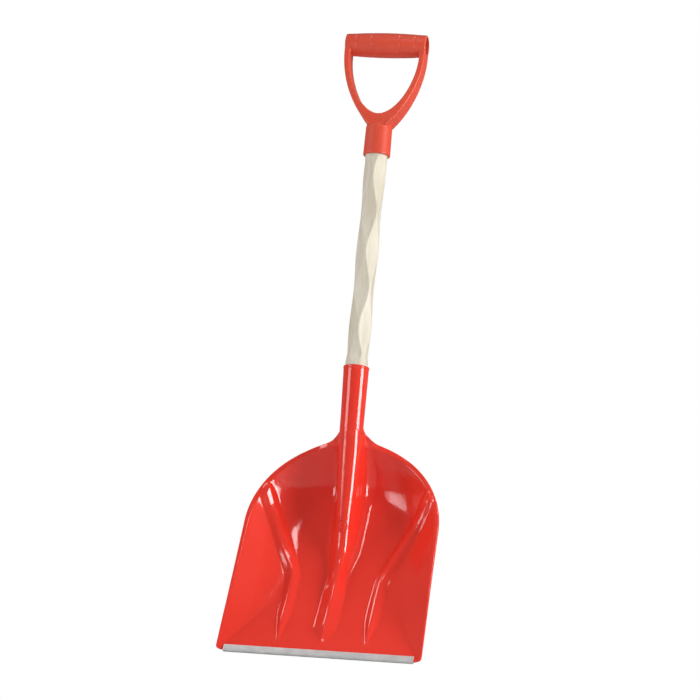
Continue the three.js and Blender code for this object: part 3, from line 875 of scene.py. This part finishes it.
def wood_material():
    """Pale straight-grained wood: broad rings, fibres and pores, all drawn out along z."""
    made, nodes, links = new_material("pale_wood")
    shader = surface(nodes, links, Roughness=0.5, IOR=1.45)
    year_rings = noise(nodes, links, place(nodes, links, (1, 1, 0.10)), 95, 3, 0.5, 0.6)
    fibre = noise(nodes, links, place(nodes, links, (1, 1, 0.045)), 1500, 4, 0.7)
    vessels = noise(nodes, links, place(nodes, links, (1, 1, 0.03)), 2600, 2, 0.6)
    broad = combine(nodes, links, "MULTIPLY", year_rings, 0.65)
    narrow = combine(nodes, links, "MULTIPLY", fibre, 0.35)
    colour = ramp(nodes, links, combine(nodes, links, "ADD", broad, narrow), [
        (0.34, (0.64, 0.57, 0.44)), (0.46, (0.71, 0.65, 0.52)),
        (0.56, (0.76, 0.71, 0.59)), (0.68, (0.81, 0.765, 0.65)),
    ])
    links.new(colour, shader.inputs["Base Color"])
    links.new(spread(nodes, links, fibre, 0.42, 0.62), shader.inputs["Roughness"])
    pores = bump(nodes, links, vessels, 0.0002, 0.4)
    links.new(bump(nodes, links, fibre, 0.00025, 0.5, pores), shader.inputs["Normal"])
    return made


def metal(name, colour, roughness, brush):
    made, nodes, links = new_material(name)
    shader = surface(nodes, links, Metallic=1.0)
    lines = noise(nodes, links, place(nodes, links, brush), 1800, 3, 0.7)
    cloud = noise(nodes, links, place(nodes, links), 60, 4)
    shade = tuple(c * 0.8 for c in colour)
    links.new(ramp(nodes, links, cloud, [(0.3, shade), (0.7, colour)]), shader.inputs["Base Color"])
    links.new(spread(nodes, links, lines, roughness - 0.08, roughness + 0.12), shader.inputs["Roughness"])
    links.new(bump(nodes, links, lines, 0.0001, 0.35), shader.inputs["Normal"])
    return made


scoop_red = plastic(
    "gloss_red_plastic", (0.90, 0.046, 0.027), (0.86, 0.040, 0.023),
    roughness=0.09, grain=0.00002, gloss=0.0006,
)
grip_red = plastic(
    "satin_red_plastic", (0.80, 0.085, 0.040), (0.75, 0.072, 0.035),
    roughness=0.36, grain=0.00006, gloss=0.0003,
)
aluminium = metal("brushed_aluminium", (0.76, 0.77, 0.77), roughness=0.46, brush=(0.03, 1, 1))
zinc = metal("zinc_steel", (0.70, 0.71, 0.72), roughness=0.30, brush=(1, 1, 1))
pale_wood = wood_material()

for pieces, made, slot in (
    ((sheet, tube, *rings), scoop_red, "scoop_plastic"),
    ((strip,), aluminium, "edge_metal"),
    ((wood,), pale_wood, "shaft_wood"),
    ((handle,), grip_red, "grip_plastic"),
    (screws, zinc, "screw_steel"),
):
    for piece in pieces:
        piece.data.materials.clear()
        piece.data.materials.append(made)


# ---------------------------------------------------------------- studio

FLOOR_REACH = 30
LIT_STRENGTH = 0.22
AIM_HEIGHT = 0.5
# name, azimuth, distance, height, width, tall, power, and the visibility that is off
SOFTBOXES = (
    ("key_glow", 72, 3.0, 1.6, 1.6, 1.8, 84, "visible_glossy"),
    ("key_strip", 72, 3.0, 0.66, 1.35, 1.1, 84, "visible_diffuse"),
    ("fill_strip", -48, 3.2, 0.8, 1.4, 1.1, 30, "visible_diffuse"),
    ("fill_glow", -72, 3.2, 1.3, 1.6, 1.8, 44, "visible_glossy"),
    ("top_box", 8, 2.6, 3.4, 0.9, 0.5, 16, None),
    ("overhead_box", 60, 0.6, 3.3, 0.45, 0.45, 9, "visible_diffuse"),
    ("left_high_box", -92, 2.1, 3.1, 0.5, 1.6, 22, "visible_diffuse"),
)

CAMERA_SENSOR = 36
CAMERA_LENS = 155.366
CAMERA_SHIFT_X = -0.011471
CAMERA_TURN = math.radians(12.505)
CAMERA_ROLL = math.radians(5.449)
CAMERA_DISTANCE = 4.8
CAMERA_HEIGHT = -0.6052
CAMERA_AIM_HEIGHT = 0.5188


def studio_floor():
    """White paper that is clear from below, so that a low camera sees through it."""
    mesh = bpy.data.meshes.new("floor")
    corners = [(x * FLOOR_REACH, y * FLOOR_REACH, 0) for x, y in ((-1, -1), (1, -1), (1, 1), (-1, 1))]
    mesh.from_pydata(corners, [], [(0, 1, 2, 3)])
    floor = linked("floor", mesh)
    floor.location.z = -0.0005
    made, nodes, links = new_material("studio_white")
    paper = nodes.new("ShaderNodeBsdfDiffuse")
    paper.inputs["Color"].default_value = (0.86, 0.86, 0.85, 1)
    clear = nodes.new("ShaderNodeBsdfTransparent")
    side = nodes.new("ShaderNodeNewGeometry")
    either = nodes.new("ShaderNodeMixShader")
    out = nodes.new("ShaderNodeOutputMaterial")
    links.new(side.outputs["Backfacing"], either.inputs["Fac"])
    links.new(paper.outputs[0], either.inputs[1])
    links.new(clear.outputs[0], either.inputs[2])
    links.new(either.outputs[0], out.inputs["Surface"])
    mesh.materials.append(made)


def softbox(name, azimuth, distance, height, width, tall, power, hidden):
    """A soft light that faces the shovel's middle; azimuth 0 is in front, positive towards +X."""
    light = bpy.data.lights.new(name, "AREA")
    light.shape = "RECTANGLE"
    light.size, light.size_y = width, tall
    light.energy = power
    lamp = linked(name, light)
    a = math.radians(azimuth)
    lamp.location = (distance * math.sin(a), -distance * math.cos(a), height)
    aim = Vector((0, 0, AIM_HEIGHT)) - Vector(lamp.location)
    lamp.rotation_euler = aim.to_track_quat("-Z", "Y").to_euler()
    if hidden:
        setattr(lamp, hidden, False)


def studio_world():
    """White where the camera sees it, and a dim fill for everything else."""
    world = bpy.data.worlds.new("studio")
    world.use_nodes = True
    nodes, links = world.node_tree.nodes, world.node_tree.links
    nodes.clear()
    out = nodes.new("ShaderNodeOutputWorld")
    seen = nodes.new("ShaderNodeBackground")
    seen.inputs["Color"].default_value = (1, 1, 1, 1)
    lit = nodes.new("ShaderNodeBackground")
    lit.inputs["Color"].default_value = (1, 0.99, 0.98, 1)
    lit.inputs["Strength"].default_value = LIT_STRENGTH
    path = nodes.new("ShaderNodeLightPath")
    either = nodes.new("ShaderNodeMixShader")
    links.new(path.outputs["Is Camera Ray"], either.inputs["Fac"])
    links.new(lit.outputs[0], either.inputs[1])
    links.new(seen.outputs[0], either.inputs[2])
    links.new(either.outputs[0], out.inputs["Surface"])
    bpy.context.scene.world = world


def camera():
    data = bpy.data.cameras.new("camera")
    data.sensor_width = CAMERA_SENSOR
    data.lens = CAMERA_LENS
    data.shift_x = CAMERA_SHIFT_X
    data.clip_start, data.clip_end = 0.1, 200
    cam = linked("camera", data)
    ahead = Vector((math.sin(CAMERA_TURN), -math.cos(CAMERA_TURN), 0)) * CAMERA_DISTANCE
    place_at = ahead + Vector((0, 0, CAMERA_HEIGHT)) + SHIFT
    aim = Vector((0, 0, CAMERA_AIM_HEIGHT)) + SHIFT
    toward = (aim - place_at).normalized()
    right = toward.cross(Vector((0, 0, 1))).normalized()
    up = right.cross(toward)
    tilted_right = right * math.cos(CAMERA_ROLL) + up * math.sin(CAMERA_ROLL)
    tilted_up = up * math.cos(CAMERA_ROLL) - right * math.sin(CAMERA_ROLL)
    basis = Matrix((tilted_right, tilted_up, -toward)).transposed()
    cam.matrix_world = Matrix.Translation(place_at) @ basis.to_4x4()
    bpy.context.scene.camera = cam


studio_floor()
studio_world()
for box in SOFTBOXES:
    softbox(*box)
camera()
bpy.context.scene.view_settings.view_transform = "Standard"
bpy.context.scene.view_settings.look = "None"

bpy.context.view_layer.update()
